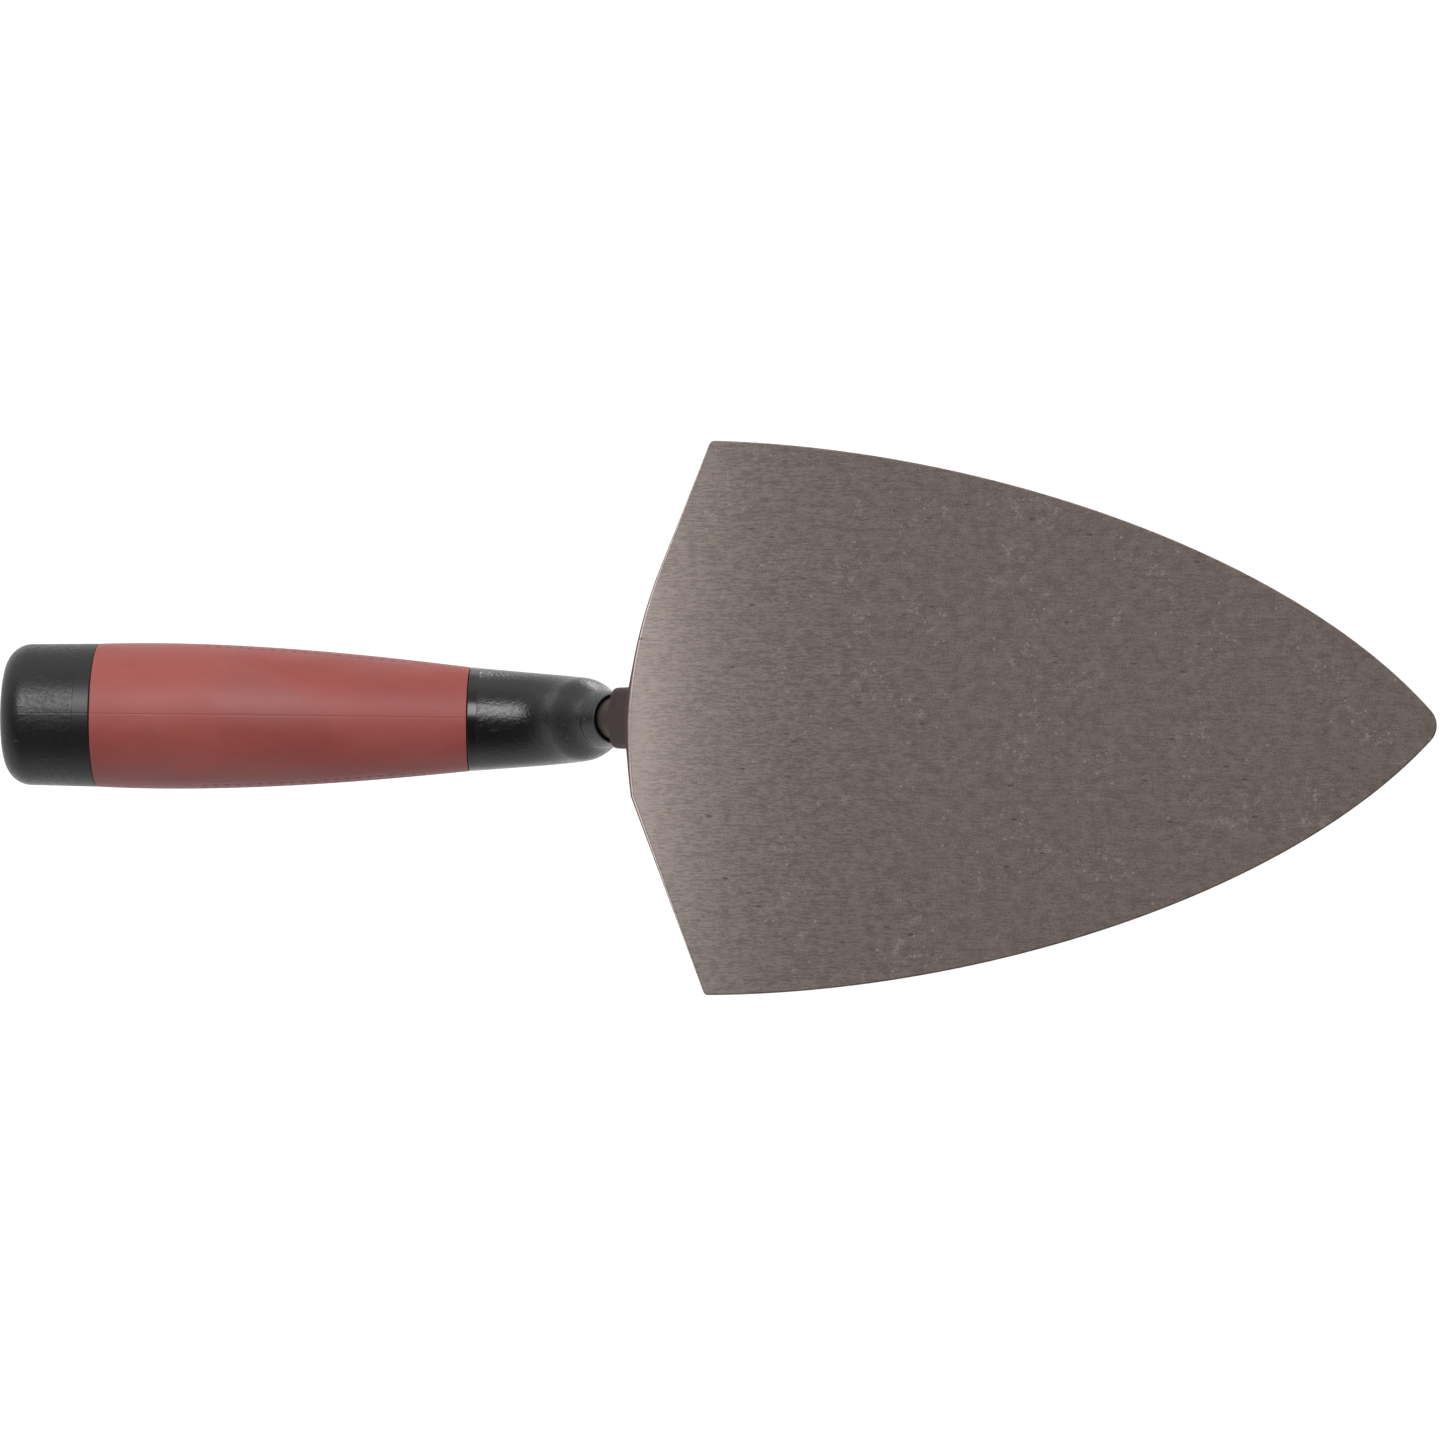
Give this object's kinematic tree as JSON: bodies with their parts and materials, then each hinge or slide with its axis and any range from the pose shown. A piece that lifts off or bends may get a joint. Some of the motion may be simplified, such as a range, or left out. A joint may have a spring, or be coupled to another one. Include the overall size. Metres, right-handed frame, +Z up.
{
  "type": "brick trowel",
  "caption": "Flat steel brick trowel with a wide curved blade, an angled round shank and a soft-grip handle with a butt cap.",
  "frame": {"origin": "middle of the line that joins the blade's two heel corners, on the flat underside", "axes": "+X towards the blade's tip, +Z up from the underside to the handle's side, +Y to the left of the tip direction"},
  "size_m": [0.3352, 0.127, 0.065],
  "materials": {
    "blade_steel": "ground, with fine lengthwise scratches",
    "collar_plastic": "satin moulded plastic",
    "core_plastic": "fine-textured moulded plastic",
    "grip_rubber": "soft matt elastomer",
    "cap_plastic": "fine-textured moulded plastic"
  },
  "bodies": {
    "root": {"blade_forging": "blade_steel", "tang_collar": "collar_plastic", "handle_core": "core_plastic", "soft_grip": "grip_rubber", "end_cap": "cap_plastic"}
  },
  "joints": []
}
